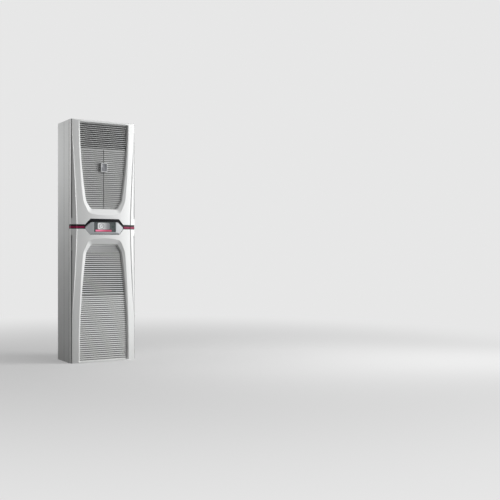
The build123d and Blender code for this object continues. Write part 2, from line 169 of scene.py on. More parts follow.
# %% [markdown]
# ## Tone and floor dust
# No painted panel is one even colour. Broad clouds shift it by a few percent, and a unit that
# stands on a floor gathers dust near its foot. Both could be painted by hand on the mesh, which
# needs many more points. The group mixes a clean and a dusty tone by a mask made of height above
# the floor and noise, and works on any mesh.

# %% Panel tone group
panel_tone, entry, leave = new_group(
    "panel_tone",
    [("Clean", colour, (0.6, 0.6, 0.6, 1)), ("Dusty", colour, (0.4, 0.4, 0.4, 1)),
     ("Reach", number, 0.2), ("Clouds", number, 0.1)],
    [("Color", colour), ("Dust", number)],
)
place = add_node(panel_tone, "ShaderNodeTexCoord")
split = add_node(panel_tone, "ShaderNodeSeparateXYZ")
fall = put(add_node(panel_tone, "ShaderNodeMapRange", interpolation_type="SMOOTHSTEP"),
           From_Min=0.0, To_Min=0.55, To_Max=0.0)
speck = put(add_node(panel_tone, "ShaderNodeTexNoise"), Scale=38.0, Detail=5.0, Roughness=0.65)
cloud = put(add_node(panel_tone, "ShaderNodeTexNoise"), Scale=3.2, Detail=3.0)
settled = add_node(panel_tone, "ShaderNodeMath", operation="MULTIPLY")
drift = add_node(panel_tone, "ShaderNodeMath", operation="MULTIPLY")
mask = add_node(panel_tone, "ShaderNodeMath", operation="ADD", use_clamp=True)
blend = add_node(panel_tone, "ShaderNodeMix", data_type="RGBA")
link(panel_tone, place, "Object", split, "Vector")
link(panel_tone, place, "Object", speck, "Vector")
link(panel_tone, place, "Object", cloud, "Vector")
link(panel_tone, split, "Z", fall, "Value")
link(panel_tone, entry, "Reach", fall, "From Max")
link(panel_tone, fall, "Result", settled, 0)
link(panel_tone, speck, "Fac", settled, 1)
link(panel_tone, cloud, "Fac", drift, 0)
link(panel_tone, entry, "Clouds", drift, 1)
link(panel_tone, settled, "Value", mask, 0)
link(panel_tone, drift, "Value", mask, 1)
link(panel_tone, mask, "Value", blend, "Factor")
link(panel_tone, entry, "Clean", blend, mix_first)
link(panel_tone, entry, "Dusty", blend, mix_second)
link(panel_tone, blend, mix_result, leave, "Color")
link(panel_tone, mask, "Value", leave, "Dust")
print("group", panel_tone.name)

# %% [markdown]
# ## Painted shade in the depth of the louvres
# Between the blades of a louvre the paint lies in shadow, so the depth looks much darker than the
# front edges. This group paints that shade into the colour. An occlusion node could find such
# places, but slowly and with noise. The blades run across the unit, so the depth is simply the
# object's own Y, and the group mixes in a dark tone, painted shade, by how far a point lies behind
# the front of the blades. The bar that ends the open blades stands between two bright edges and in
# their shade, so a band of Z takes a share of the same painted shade.

# %% Louvre depth group
louvre_painted_shade, entry, leave = new_group(
    "louvre_painted_shade",
    [("Surface", colour, (0.6, 0.6, 0.6, 1)), ("Deep", colour, (0.1, 0.1, 0.1, 1)),
     ("Front", number, -0.12), ("Reach", number, 0.004),
     ("Bar", number, 0.0), ("Bar Reach", number, 0.0025), ("Bar Shade", number, 0.5)],
    [("Color", colour)],
)
place = add_node(louvre_painted_shade, "ShaderNodeTexCoord")
split = add_node(louvre_painted_shade, "ShaderNodeSeparateXYZ")
back = add_node(louvre_painted_shade, "ShaderNodeMath", operation="ADD")
depth_mask = add_node(louvre_painted_shade, "ShaderNodeMapRange", interpolation_type="SMOOTHSTEP")
at_bar = add_node(louvre_painted_shade, "ShaderNodeMath", operation="COMPARE")
bar_shade = add_node(louvre_painted_shade, "ShaderNodeMath", operation="MULTIPLY")
shade = add_node(louvre_painted_shade, "ShaderNodeMath", operation="MAXIMUM")
blend = add_node(louvre_painted_shade, "ShaderNodeMix", data_type="RGBA")
link(louvre_painted_shade, place, "Object", split, "Vector")
link(louvre_painted_shade, split, "Z", at_bar, 0)
link(louvre_painted_shade, entry, "Bar", at_bar, 1)
link(louvre_painted_shade, entry, "Bar Reach", at_bar, 2)
link(louvre_painted_shade, at_bar, "Value", bar_shade, 0)
link(louvre_painted_shade, entry, "Bar Shade", bar_shade, 1)
link(louvre_painted_shade, bar_shade, "Value", shade, 1)
link(louvre_painted_shade, entry, "Front", back, 0)
link(louvre_painted_shade, entry, "Reach", back, 1)
link(louvre_painted_shade, split, "Y", depth_mask, "Value")
link(louvre_painted_shade, entry, "Front", depth_mask, "From Min")
link(louvre_painted_shade, back, "Value", depth_mask, "From Max")
link(louvre_painted_shade, depth_mask, "Result", shade, 0)
link(louvre_painted_shade, shade, "Value", blend, "Factor")
link(louvre_painted_shade, entry, "Surface", blend, mix_first)
link(louvre_painted_shade, entry, "Deep", blend, mix_second)
link(louvre_painted_shade, blend, mix_result, leave, "Color")
print("group", louvre_painted_shade.name)

# %% [markdown]
# ## Painted finishes
# Casing and covers are nearly the same light grey, but the casing is textured powder coat and the
# covers are smoother and lighter. Each could have its own network of nodes. One recipe that uses
# the first two groups keeps them alike, and each finish gives it two tones, a grain size, a
# roughness, a bump depth and, where it should mirror less, a lower shine.

# %% Paint recipe
def new_finish(name):
    finish = bpy.data.materials.new(name)
    finish.use_nodes = True
    return finish, finish.node_tree, finish.node_tree.nodes["Principled BSDF"]


def use_group(tree, group, **values):
    node = add_node(tree, "ShaderNodeGroup", node_tree=group)
    return put(node, **values)


def paint(name, clean, dusty, grain, gloss, depth, reach=0.22, clouds=0.12, shine=0.5):
    finish, tree, shader = new_finish(name)
    tone = use_group(tree, panel_tone, Clean=(*clean, 1), Dusty=(*dusty, 1), Reach=reach, Clouds=clouds)
    grained = use_group(tree, coat_grain, Grain=grain, Gloss=gloss, Spread=0.06)
    bump = put(add_node(tree, "ShaderNodeBump"), Strength=1.0, Distance=depth)
    link(tree, tone, "Color", shader, "Base Color")
    link(tree, grained, "Roughness", shader, "Roughness")
    link(tree, grained, "Height", bump, "Height")
    link(tree, bump, "Normal", shader, "Normal")
    shader.inputs["Specular IOR Level"].default_value = shine
    return finish


casing_paint = paint(
    "casing_paint", clean=(0.62, 0.63, 0.625), dusty=(0.46, 0.455, 0.44),
    grain=520.0, gloss=0.46, depth=0.00012)
cover_paint = paint(
    "cover_paint", clean=(0.81, 0.82, 0.815), dusty=(0.64, 0.635, 0.62),
    grain=760.0, gloss=0.36, depth=0.00005, shine=0.3)
bezel_grey = paint(
    "bezel_grey", clean=(0.46, 0.48, 0.495), dusty=(0.38, 0.39, 0.40),
    grain=1500.0, gloss=0.34, depth=0.00003)
print("painted finishes:", casing_paint.name, cover_paint.name, bezel_grey.name)

# %% [markdown]
# The louvres are painted too. Their finish could be a second recipe, but only the painted shade in
# the depth is new, so the paint is made first and its colour is then led through the shade group.
# The upper louvres get a darker copy of the same paint, a little greyer and with a paler painted
# shade in the depth. The greyer tone is painted shade, because those blades are seen from below.

# %% Louvre paint
def louvre_paint(name, clean, dusty, deep, front, reach, bar, bar_shade):
    finish = paint(name, clean, dusty, grain=700.0, gloss=0.42, depth=0.00006)
    tree = finish.node_tree
    shader = tree.nodes["Principled BSDF"]
    # Here the paint's colour gets the painted shade of the louvre depth and the bar.
    shaded = use_group(
        tree, louvre_painted_shade, Deep=(*deep, 1), Front=front, Reach=reach, Bar=bar, Bar_Shade=bar_shade)
    tree.links.new(shader.inputs["Base Color"].links[0].from_socket, shaded.inputs["Surface"])
    link(tree, shaded, "Color", shader, "Base Color")
    return finish


blade_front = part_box("lower_blind_grille")[0].y
bright_edge = 0.0005
shade_front = blade_front + bright_edge
half_bar = 0.002
lower_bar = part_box("intake_grille")[0].z + half_bar
upper_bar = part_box("exhaust_grille")[0].z + half_bar
# The deep tones are painted shade in the depth between the blades and on the bars.
grille_paint = louvre_paint(
    "grille_paint", clean=(0.77, 0.78, 0.775), dusty=(0.58, 0.575, 0.56), deep=(0.11, 0.11, 0.11),
    front=shade_front, reach=0.005, bar=lower_bar, bar_shade=0.25)
# The same louvre paint, darker: painted shade for the upper louvres.
upper_grille_shaded_paint = louvre_paint(
    "upper_grille_shaded_paint", clean=(0.66, 0.67, 0.665), dusty=(0.46, 0.455, 0.44), deep=(0.20, 0.20, 0.20),
    front=shade_front, reach=0.006, bar=upper_bar, bar_shade=0.5)
print("louvre blades start at", round(blade_front, 4))

# %% [markdown]
# ## Trim
# The band across the waist is black plastic with a crimson stripe. A clear coat could make it
# glossy, but in pale surroundings a strong gloss would turn the black to grey. The paint recipe
# with a finer grain and little shine keeps both colours deep. The blowers behind the louvres are
# moulded in a rougher black.

# %% Trim finishes
black_trim = paint(
    "black_trim", clean=(0.008, 0.008, 0.010), dusty=(0.02, 0.02, 0.02),
    grain=900.0, gloss=0.34, depth=0.00002, shine=0.15)
red_trim = paint(
    "red_trim", clean=(0.26, 0.010, 0.060), dusty=(0.17, 0.012, 0.045),
    grain=900.0, gloss=0.34, depth=0.00002, shine=0.15)
black_plastic = paint(
    "black_plastic", clean=(0.022, 0.022, 0.024), dusty=(0.06, 0.06, 0.058),
    grain=420.0, gloss=0.5, depth=0.00008)
print("trim finishes:", black_trim.name, red_trim.name, black_plastic.name)

# %% [markdown]
# ## Metals
# The rear guard, nuts and screws, the coils and the wall between the blowers are bare metal: zinc
# plated steel with fine rolling lines, plated wire and aluminium fins. Such lines could come from
# an anisotropic shader, which shows them only in its highlights. Stretching the coordinates along
# one axis turns plain noise into lines that show in the roughness and the bump from every side.

# %% Metal recipe
def metal(name, bright, dull, stretch, rough, depth):
    finish, tree, shader = new_finish(name)
    place = add_node(tree, "ShaderNodeTexCoord")
    pull = put(add_node(tree, "ShaderNodeMapping"), Scale=stretch)
    lines = put(add_node(tree, "ShaderNodeTexNoise"), Scale=60.0, Detail=4.0)
    tone = use_group(tree, panel_tone, Clean=(*bright, 1), Dusty=(*dull, 1), Reach=0.3, Clouds=0.5)
    shine = put(add_node(tree, "ShaderNodeMapRange"), To_Min=rough - 0.08, To_Max=rough + 0.12)
    bump = put(add_node(tree, "ShaderNodeBump"), Strength=0.6, Distance=depth)
    link(tree, place, "Object", pull, "Vector")
    link(tree, pull, "Vector", lines, "Vector")
    link(tree, lines, "Fac", shine, "Value")
    link(tree, lines, "Fac", bump, "Height")
    link(tree, tone, "Color", shader, "Base Color")
    link(tree, shine, "Result", shader, "Roughness")
    link(tree, bump, "Normal", shader, "Normal")
    shader.inputs["Metallic"].default_value = 1.0
    return finish


zinc_steel = metal(
    "zinc_steel", bright=(0.62, 0.63, 0.64), dull=(0.40, 0.41, 0.42),
    stretch=(1, 1, 14), rough=0.34, depth=0.00005)
guard_steel = metal(
    "guard_steel", bright=(0.42, 0.43, 0.44), dull=(0.25, 0.25, 0.26),
    stretch=(6, 1, 6), rough=0.3, depth=0.00003)
# The fins get a tone far darker than bare aluminium: painted shade for the dark space behind the
# louvres.
coil_fins = metal(
    "coil_fins", bright=(0.13, 0.13, 0.133), dull=(0.06, 0.06, 0.061),
    stretch=(18, 1, 0.5), rough=0.45, depth=0.0006)
print("metals:", zinc_steel.name, guard_steel.name, coil_fins.name)

# %% [markdown]
# ## Dark display glass
# The display lies behind dark glass and glows a little. A lamp behind real glass would be slow
# and noisy for so small a part. The glass glows by itself instead, and as the glow fades towards
# the edges, its colour is a gradient on the object's own coordinates, centred on the screen.

# %% Display glass
screen_low, screen_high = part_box("display_screen")
screen_middle = (screen_low + screen_high) / 2
glow_half_width = 0.09
glow_half_height = 0.05
screen_glass, tree, shader = new_finish("screen_glass")
place = add_node(tree, "ShaderNodeTexCoord")
centre = put(
    add_node(tree, "ShaderNodeMapping"),
    Location=(-screen_middle.x / glow_half_width, 0.0, -screen_middle.z / glow_half_height),
    Scale=(1 / glow_half_width, 0.0, 1 / glow_half_height))
glow = add_node(tree, "ShaderNodeTexGradient", gradient_type="SPHERICAL")
ramp = add_node(tree, "ShaderNodeValToRGB")
ramp.color_ramp.elements[0].color = (0.035, 0.05, 0.048, 1)
ramp.color_ramp.elements[1].color = (0.13, 0.14, 0.14, 1)
grained = use_group(tree, coat_grain, Grain=1200.0, Gloss=0.1, Spread=0.03)
link(tree, place, "Object", centre, "Vector")
link(tree, centre, "Vector", glow, "Vector")
link(tree, glow, "Fac", ramp, "Fac")
link(tree, ramp, "Color", shader, "Emission Color")
link(tree, grained, "Roughness", shader, "Roughness")
shader.inputs["Base Color"].default_value = (0.02, 0.022, 0.024, 1)
shader.inputs["Emission Strength"].default_value = 0.7
print("screen", [round(v, 3) for v in screen_high - screen_low])

# %% [markdown]
# ## Finish on every CAD piece
# The record names a material slot for each node. The finishes could be given one by one. A table
# of which finish stands for which slot is shorter and forgets no node. Only the upper louvres then
# change to their own finish, the darker copy of the louvre paint that paints shade on them.

# %% Give the nodes their finish
finishes = {
    "casing_paint": casing_paint, "cover_paint": cover_paint, "grille_paint": grille_paint,
    "black_trim": black_trim, "red_trim": red_trim, "bezel_grey": bezel_grey,
    "screen_glass": screen_glass, "zinc_steel": zinc_steel, "guard_steel": guard_steel,
    "black_plastic": black_plastic, "coil_fins": coil_fins,
}
for row in frame["record"]["subparts"]:
    piece = unit[row["node"]]
    piece.data.materials.clear()
    piece.data.materials.append(finishes[row["material_slot"]])
# The upper louvres take the darker copy of the louvre paint, which is painted shade.
for node in ("exhaust_grille", "upper_blind_grille"):
    unit[node].data.materials[0] = upper_grille_shaded_paint
print("finishes given to", len(unit), "nodes")

# %% [markdown]
# ## Tools for the added pieces
# Each added piece starts as a box, a cylinder or a circle at its place and is then shaped in edit
# mode, as by hand. These helpers start a box or a disc, and select edges or faces by where they
# lie or point, which stands for clicking on them. Numbered faces would be quicker to write, but
# the numbers change with every step before them.

# %% Start a shape
def start_box(name, middle, size):
    bpy.ops.object.select_all(action="DESELECT")
    bpy.ops.mesh.primitive_cube_add(size=1.0, location=middle)
    box = bpy.context.active_object
    box.name = name
    box.scale = size
    bpy.ops.object.transform_apply(location=True, rotation=True, scale=True)
    return box


def start_disc(name, middle, radius, depth, sides):
    """Short cylinder whose flat faces look to the front and the rear."""
    bpy.ops.object.select_all(action="DESELECT")
    bpy.ops.mesh.primitive_cylinder_add(
        vertices=sides, radius=radius, depth=depth, location=middle, rotation=(math.pi / 2, 0.0, 0.0))
    disc = bpy.context.active_object
    disc.name = name
    bpy.ops.object.transform_apply(location=True, rotation=True, scale=True)
    return disc


print("boxes and discs can be started")

# %% Pick edges and faces
same_place = 1e-6
facing = 0.9


def clear_selection(kind):
    bpy.ops.object.mode_set(mode="EDIT")
    bpy.ops.mesh.select_mode(type=kind)
    bpy.ops.mesh.select_all(action="DESELECT")
    bpy.ops.object.mode_set(mode="OBJECT")


def pick_edges(piece, wanted):
    """Opens edit mode with the edges selected for which wanted(start, end) is true."""
    clear_selection("EDGE")
    points = piece.data.vertices
    for edge in piece.data.edges:
        edge.select = wanted(points[edge.vertices[0]].co, points[edge.vertices[1]].co)
    bpy.ops.object.mode_set(mode="EDIT")


def pick_faces(piece, wanted):
    """Opens edit mode with the faces selected for which wanted(middle, normal) is true."""
    clear_selection("FACE")
    for face in piece.data.polygons:
        face.select = wanted(face.center, face.normal)
    bpy.ops.object.mode_set(mode="EDIT")


def runs_to_the_rear(start, end):
    return abs(start.x - end.x) < same_place and abs(start.z - end.z) < same_place


def looks_to_the_front(middle, normal):
    return normal.y < -facing


print("edges and faces can be picked")

# %% Finish a piece
corner_turn = math.radians(40)
smooth_turn = math.radians(35)


def finish_piece(piece, finish, soft_edge):
    """Softens the sharp edges, and gives the piece its finish and its body."""
    bpy.ops.object.mode_set(mode="OBJECT")
    rounding = piece.modifiers.new("rounding", "BEVEL")
    rounding.width = soft_edge
    rounding.segments = 2
    rounding.limit_method = "ANGLE"
    rounding.angle_limit = corner_turn
    bpy.context.view_layer.objects.active = piece
    bpy.ops.object.modifier_apply(modifier=rounding.name)
    bpy.ops.object.shade_smooth_by_angle(angle=smooth_turn)
    if not piece.data.materials:
        piece.data.materials.append(finish)
    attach(piece, "root")
    print(piece.name, "faces:", len(piece.data.polygons))


print("pieces can be finished")

# %% [markdown]
# ## Rounded edges
# Painted sheet and mouldings have no knife edges: each bend has a small radius that catches the
# light. The CAD solids are sharp there. A Bevel node in the finish could fake the radius, but it
# would not be in the mesh. A copy of each outer piece is merged, a Bevel modifier rounds the edges
# that turn sharply, and weighted normals keep the flat faces flat. The copy stands for the CAD
# piece. Hands and packing rub the edges first, so the rounded strips get a finish of their own: the
# same colour, smoother, with the undercoat showing in spots. The side walls meet in narrow upright
# joints where no light falls, so their rounded strips get a dark finish: painted shadow for the
# shadow gap of the joints.

# %% Edge finishes
edge_grain = 260.0
rubbed = {
    "casing_paint": paint(
        "casing_edge", clean=(0.66, 0.67, 0.665), dusty=(0.34, 0.34, 0.335),
        grain=edge_grain, gloss=0.30, depth=0.00004, clouds=0.5),
    "cover_paint": paint(
        "cover_edge", clean=(0.84, 0.85, 0.845), dusty=(0.50, 0.50, 0.49),
        grain=edge_grain, gloss=0.26, depth=0.00003, clouds=0.4, shine=0.3),
    "bezel_grey": paint(
        "bezel_edge", clean=(0.54, 0.56, 0.575), dusty=(0.34, 0.35, 0.36),
        grain=edge_grain, gloss=0.24, depth=0.00002, clouds=0.4),
    "black_trim": paint(
        "trim_edge", clean=(0.016, 0.016, 0.019), dusty=(0.05, 0.05, 0.05),
        grain=edge_grain, gloss=0.26, depth=0.00002, shine=0.15),
}
# Dark finish of the joints: painted shadow for the shadow gaps between the panels.
joint_painted_shadow = paint(
    "joint_painted_shadow", clean=(0.055, 0.055, 0.054), dusty=(0.03, 0.03, 0.03),
    grain=edge_grain, gloss=0.7, depth=0.00004, shine=0.1)
print("edge finishes:", len(rubbed) + 1)

# %% Soften one piece
joint_strip = 0.0050
strip_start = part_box("left_front_side")[0].y - joint_strip
merge_distance = 0.00002
flat_turn = math.radians(9)


def softened(node, radius, sharp):
    """Copy of a CAD piece that stands for it, with every bend over sharp degrees rounded."""
    source = unit[node]
    bpy.ops.object.select_all(action="DESELECT")
    piece = bpy.data.objects.new(node + "_dressed", source.data.copy())
    bpy.context.scene.collection.objects.link(piece)
    row = next(r for r in frame["record"]["subparts"] if r["node"] == node)
    in_a_joint = node.endswith("_side")
    piece.data.materials.append(joint_painted_shadow if in_a_joint else rubbed[row["material_slot"]])
    piece.select_set(True)
    bpy.context.view_layer.objects.active = piece
    bpy.ops.object.mode_set(mode="EDIT")
    bpy.ops.mesh.select_all(action="SELECT")
    bpy.ops.mesh.remove_doubles(threshold=merge_distance)
    if node.endswith("_cover"):
        bpy.ops.mesh.bisect(plane_co=(0.0, strip_start, 0.0), plane_no=(0.0, 1.0, 0.0))
    bpy.ops.object.mode_set(mode="OBJECT")
    rounding = piece.modifiers.new("rounding", "BEVEL")
    rounding.width = radius
    rounding.segments = 3
    rounding.limit_method = "ANGLE"
    rounding.angle_limit = math.radians(sharp)
    rounding.miter_outer = "MITER_ARC"
    rounding.material = 1
    bpy.ops.object.modifier_apply(modifier=rounding.name)
    bpy.ops.object.shade_smooth_by_angle(angle=flat_turn)
    flats = piece.modifiers.new("flats", "WEIGHTED_NORMAL")
    flats.mode = "FACE_AREA"
    flats.weight = 80
    flats.keep_sharp = True
    bpy.ops.object.modifier_apply(modifier=flats.name)
    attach(piece, "root")
    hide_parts(node)
    print(piece.name, "faces:", len(piece.data.polygons))
    return piece


print("joint strip starts at", round(strip_start, 4))

# %% Soften the outer pieces
dressed = {}
for node, radius, sharp in (
    ("upper_cover", 0.0008, 25), ("lower_cover", 0.0008, 25), ("roof_panel", 0.0008, 40),
    ("left_front_side", 0.0009, 40), ("left_rear_side", 0.0009, 40),
    ("right_front_side", 0.0009, 40), ("right_rear_side", 0.0009, 40), ("rear_panel", 0.0004, 40),
    ("display_bezel", 0.0008, 25), ("band_trim", 0.0006, 40),
):
    dressed[node] = softened(node, radius, sharp)

# %% [markdown]
# The side returns of the covers end in a narrow shadow joint in front of the side walls. It could
# be a strip of its own, but that would stand proud of the casing. Each cover copy was cut there
# while its mesh was open, so the strip behind the cut is picked by its place and takes the dark
# finish of the other joints, painted shadow for the shadow joint.

# %% Joint behind the covers
flank_margin = 0.0015
flank = cad_high.x - flank_margin


def in_the_strip(middle, normal):
    return abs(middle.x) > flank and middle.y > strip_start


for node in ("upper_cover", "lower_cover"):
    cover = dressed[node]
    bpy.ops.object.select_all(action="DESELECT")
    cover.select_set(True)
    bpy.context.view_layer.objects.active = cover
    cover.data.materials.append(joint_painted_shadow)
    pick_faces(cover, in_the_strip)
    cover.active_material_index = len(cover.data.materials) - 1
    bpy.ops.object.material_slot_assign()
    bpy.ops.object.mode_set(mode="OBJECT")
    print(cover.name, "faces in the joint:", sum(face.select for face in cover.data.polygons))

# %% [markdown]
# ## Blank plate on the upper louvres
# A small upright plate stands on the middle of the closed louvres. It is a block with rounded
# corners and a raised border round a plain field. It could be two pieces, a border and a field.
# One box does both: it is bevelled along its four short edges, and its front face is inset twice,
# the second time with a step down.

# %% Front plate
grille_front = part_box("upper_blind_grille")[0].y
plate_width = 0.044
plate_depth = 0.0125
plate_height = 0.058
plate_middle_z = 1.290
plate_seat = 0.0005
plate_corner = 0.005
border_width = 0.004
step_width = 0.0008
step_depth = 0.0015
plate_middle = (0.0, grille_front - plate_depth / 2 + plate_seat, plate_middle_z)
front_plate = start_box("front_plate", plate_middle, (plate_width, plate_depth, plate_height))
pick_edges(front_plate, runs_to_the_rear)
bpy.ops.mesh.bevel(offset=plate_corner, segments=5, affect="EDGES")
pick_faces(front_plate, looks_to_the_front)
bpy.ops.mesh.inset(thickness=border_width)
bpy.ops.mesh.inset(thickness=step_width, depth=-step_depth)
plate_field = paint(
    "plate_field", clean=(0.20, 0.205, 0.22), dusty=(0.15, 0.15, 0.16),
    grain=1400.0, gloss=0.3, depth=0.00002)
plate_border = paint(
    "plate_border", clean=(0.60, 0.61, 0.62), dusty=(0.48, 0.48, 0.49),
    grain=1500.0, gloss=0.3, depth=0.00002)
front_plate.data.materials.append(plate_border)
front_plate.data.materials.append(plate_field)
front_plate.active_material_index = 1
bpy.ops.object.material_slot_assign()
finish_piece(front_plate, plate_border, soft_edge=0.0006)

# %% [markdown]
# ## What the display shows
# Behind its glass the display shows a pale panel with a dial, a crimson level bar under it, and
# two small marks. On the real unit these are lit by the display itself. They could be drawn in the
# glass finish, but edges made of nodes are soft and hard to place. Each is a thin plate on the
# screen with a glow that changes along it, because a lit panel is never quite even.

# %% Lit finish
def two_tones(tree, first, second):
    mix = add_node(tree, "ShaderNodeMix", data_type="RGBA")
    mix.inputs[mix_first].default_value = first
    mix.inputs[mix_second].default_value = second
    return mix


def lit(name, left, right, from_x, to_x):
    """Finish that glows from one colour at from_x to another at to_x."""
    finish, tree, shader = new_finish(name)
    place = add_node(tree, "ShaderNodeTexCoord")
    split = add_node(tree, "ShaderNodeSeparateXYZ")
    across = add_node(tree, "ShaderNodeMapRange", interpolation_type="SMOOTHSTEP")
    put(across, From_Min=from_x, From_Max=to_x)
    glow = two_tones(tree, (*left, 1), (*right, 1))
    grained = use_group(tree, coat_grain, Grain=1200.0, Gloss=0.25, Spread=0.05)
    link(tree, place, "Object", split, "Vector")
    link(tree, split, "X", across, "Value")
    link(tree, across, "Result", glow, "Factor")
    link(tree, glow, mix_result, shader, "Emission Color")
    link(tree, grained, "Roughness", shader, "Roughness")
    shader.inputs["Base Color"].default_value = (0.03, 0.03, 0.032, 1)
    shader.inputs["Specular IOR Level"].default_value = 0.2
    shader.inputs["Emission Strength"].default_value = 1.0
    return finish


lit_pale = lit(
    "lit_pale", left=(0.62, 0.62, 0.63), right=(0.20, 0.20, 0.21), from_x=-0.030, to_x=0.030)
lit_crimson = lit(
    "lit_crimson", left=(0.85, 0.18, 0.32), right=(0.50, 0.06, 0.13), from_x=-0.045, to_x=0.020)
lit_green = lit(
    "lit_green", left=(0.022, 0.040, 0.033), right=(0.016, 0.030, 0.025), from_x=0.05, to_x=0.06)
lit_dim = lit(
    "lit_dim", left=(0.055, 0.055, 0.062), right=(0.075, 0.075, 0.082), from_x=-0.066, to_x=-0.060)
lit_dark = lit(
    "lit_dark", left=(0.10, 0.10, 0.11), right=(0.06, 0.06, 0.065), from_x=-0.045, to_x=0.0)
print("lit finishes:", lit_pale.name, lit_crimson.name, lit_green.name, lit_dim.name, lit_dark.name)

# %% Plates on the screen
screen_front = screen_low.y
sheet = 0.0006
plate_sink = 0.0001


def screen_plate(name, x, z, size, corner, finish):
    """Thin plate with round corners, its size as width and height, sunk a little into the screen."""
    middle = (x, screen_front - sheet / 2 + plate_sink, z)
    plate = start_box(name, middle, (size[0], sheet, size[1]))
    pick_edges(plate, runs_to_the_rear)
    bpy.ops.mesh.bevel(offset=corner, segments=4, affect="EDGES")
    pick_faces(plate, looks_to_the_front)
    bpy.ops.mesh.inset(thickness=corner / 4, depth=-plate_sink)
    finish_piece(plate, finish, soft_edge=0.0001)


screen_plate("dial_panel", x=-0.0075, z=0.9005, size=(0.083, 0.044), corner=0.008, finish=lit_pale)
screen_plate("level_bar", x=-0.0085, z=0.8705, size=(0.113, 0.0115), corner=0.004, finish=lit_crimson)
screen_plate("status_mark", x=0.0555, z=0.8965, size=(0.015, 0.015), corner=0.003, finish=lit_green)
screen_plate("menu_strip", x=-0.0645, z=0.9035, size=(0.009, 0.034), corner=0.002, finish=lit_dim)

# %% [markdown]
# The dial has a ring, short marks round it and a pointer. The ring could be a torus, but it is
# flat: it is a disc whose two faces are inset and bridged, which opens it. One mark is modelled
# and copied round the middle, and all of it is joined to one piece.

# %% Dial ring
dial_lift = 0.0001
dial_middle = Vector((-0.0225, screen_front - sheet - dial_lift, 0.9000))
dial_radius = 0.0175
dial_sheet = 0.0004
ring_width = 0.0022
dial = start_disc("dial_marks", dial_middle, dial_radius, dial_sheet, sides=48)
pick_faces(dial, lambda middle, normal: abs(normal.y) > facing)
bpy.ops.mesh.inset(thickness=ring_width)
bpy.ops.mesh.bridge_edge_loops()
bpy.ops.object.mode_set(mode="OBJECT")
print("dial ring faces:", len(dial.data.polygons))

# %% One mark and the pointer
mark_inset = 0.0045
mark_size = (0.0014, dial_sheet, 0.0034)
mark_corner = 0.0004
mark_middle = dial_middle + Vector((0.0, 0.0, dial_radius - mark_inset))
mark = start_box("dial_mark", mark_middle, mark_size)
pick_edges(mark, runs_to_the_rear)
bpy.ops.mesh.bevel(offset=mark_corner, segments=2, affect="EDGES")
bpy.ops.object.mode_set(mode="OBJECT")

pointer_offset = 0.004
pointer_size = (0.003, dial_sheet, 0.013)
pointer_tip = 0.25
pointer_middle = dial_middle + Vector((0.0, 0.0, pointer_offset))
pointer = start_box("dial_pointer", pointer_middle, pointer_size)
pick_faces(pointer, lambda middle, normal: normal.z > facing)
bpy.ops.transform.resize(value=(pointer_tip, 1.0, 1.0))
bpy.ops.object.mode_set(mode="OBJECT")
print("mark and pointer faces:", len(mark.data.polygons), len(pointer.data.polygons))

# %% Dial in one piece
dial_sweep = 120
mark_step = 30
pointer_turn = 48


def turned_about(middle, degrees):
    """Turn about the axis from front to rear through a point."""
    turn = Matrix.Rotation(math.radians(degrees), 4, "Y")
    return Matrix.Translation(middle) @ turn @ Matrix.Translation(-middle)


def moved_copy(piece, move):
    """Copy with a mesh of its own, moved by a matrix."""
    copy = piece.copy()
    copy.data = piece.data.copy()
    copy.data.transform(move)
    bpy.context.scene.collection.objects.link(copy)
    return copy


def join_to_first(pieces):
    bpy.ops.object.select_all(action="DESELECT")
    for piece in pieces:
        piece.select_set(True)
    bpy.context.view_layer.objects.active = pieces[0]
    bpy.ops.object.join()


dial_pieces = [dial, pointer]
for degrees in range(-dial_sweep, dial_sweep + 1, mark_step):
    dial_pieces.append(moved_copy(mark, turned_about(dial_middle, degrees)))
pointer.data.transform(turned_about(dial_middle, pointer_turn))
bpy.data.objects.remove(mark)
join_to_first(dial_pieces)
finish_piece(dial, lit_dark, soft_edge=0.00008)

# %% [markdown]
# ## Wires and screws of the rear guard
# The air inlet in the rear wall has a finger guard. Its plate and its wide rings come with the
# CAD model. Round wires between them close it to a finger's width, and four screws hold the
# plate. A wire ring could be a bevelled curve. A small circle spun round the middle of the eye
# gives a plain mesh at once, with as many sides as the wire needs.

# %% Guard wires
guard_low, guard_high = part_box("rear_inlet_guard")
eye_middle = (guard_low + guard_high) / 2
wire_radius = 0.0012
wire_sides = 8
wire_merge = 0.00001
ring_radii = (0.018, 0.054, 0.090)
ring_steps = 64


def wire_ring(ring_radius):
    bpy.ops.object.select_all(action="DESELECT")
    bpy.ops.mesh.primitive_circle_add(
        vertices=wire_sides, radius=wire_radius, location=eye_middle + Vector((ring_radius, 0.0, 0.0)))
    ring = bpy.context.active_object
    bpy.ops.object.transform_apply(location=True, rotation=True, scale=True)
    bpy.ops.object.mode_set(mode="EDIT")
    bpy.ops.mesh.select_all(action="SELECT")
    bpy.ops.mesh.spin(steps=ring_steps, angle=2 * math.pi, center=eye_middle, axis=(0.0, 1.0, 0.0))
    bpy.ops.mesh.select_all(action="SELECT")
    bpy.ops.mesh.remove_doubles(threshold=wire_merge)
    bpy.ops.mesh.normals_make_consistent(inside=False)
    bpy.ops.object.mode_set(mode="OBJECT")
    return ring


wires = [wire_ring(radius) for radius in ring_radii]
print("wire rings:", len(wires))

# %% [markdown]
# Two crossed bars carry the wires from rim to rim. Each could be modelled where it lies, but a box
# is easier to bevel while it lies along an axis, so one bar is made level and its copies are turned.

